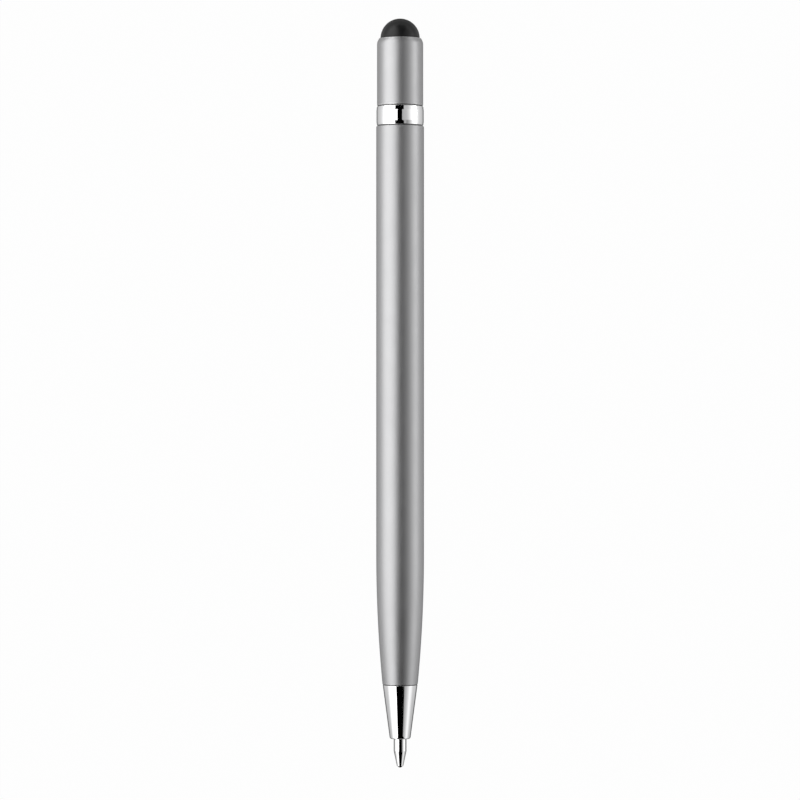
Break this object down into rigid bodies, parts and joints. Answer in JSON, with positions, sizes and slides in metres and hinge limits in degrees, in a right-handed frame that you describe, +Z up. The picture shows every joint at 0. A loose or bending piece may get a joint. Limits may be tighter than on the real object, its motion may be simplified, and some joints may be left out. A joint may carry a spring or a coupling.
{
  "type": "stylus pen",
  "caption": "Slim twist-action ballpoint pen with a rubber stylus dome on its cap, chrome ring and nose cone; turning the cap draws the refill in and out.",
  "frame": {"origin": "on the table that the pen lies on, under the middle of its length with the point out", "axes": "+Y along the pen from the writing point to the stylus dome, +Z up, the pen lying on its side"},
  "size_m": [0.0086, 0.1348, 0.0086],
  "materials": {
    "satin_silver": "satin silver lacquer over metal",
    "chrome": "polished",
    "stylus_rubber": "matt",
    "seal_rubber": "matt",
    "brass": "machined",
    "spring_steel": "ground",
    "white_nylon": "moulded",
    "nickel_silver": "turned",
    "ball_carbide": "polished",
    "clear_plastic": "translucent",
    "ink": "wet",
    "grease": "translucent"
  },
  "bodies": {
    "barrel": {"barrel": "satin_silver", "nose_cone": "chrome", "trim_ring": "chrome", "guide_housing": "brass", "slip_washer": "white_nylon", "friction_ring": "seal_rubber"},
    "cap": {"upper_cap": "satin_silver", "stylus_dome": "stylus_rubber", "stylus_plug": "brass", "cam_tube": "brass", "drive_bush": "brass", "retaining_clip": "spring_steel"},
    "refill": {"refill_carrier": "white_nylon", "carrier_pin": "spring_steel", "refill_tube": "clear_plastic", "refill_nozzle": "clear_plastic", "refill_point": "nickel_silver", "ink": "ink", "ink_follower": "grease"},
    "ball": {"tip_ball": "ball_carbide"}
  },
  "joints": [
    {"name": "cap_twist", "type": "hinge", "parent": "barrel", "child": "cap", "pos_m": [0, 0.0516, 0.0043], "axis": [0, 1, 0], "range_deg": [0, 180]},
    {"name": "refill_slide", "type": "slide", "parent": "barrel", "child": "refill", "axis": [0, 1, 0], "range_m": [0, 0.0056]},
    {"name": "ball_roll", "type": "hinge", "parent": "refill", "child": "ball", "pos_m": [0, -0.0669, 0.0043], "axis": [1, 0, 0], "continuous": true}
  ],
  "couplings": [
    {"joint": "cap_twist", "follows": "refill_slide", "rad_per_m": 560.99}
  ]
}
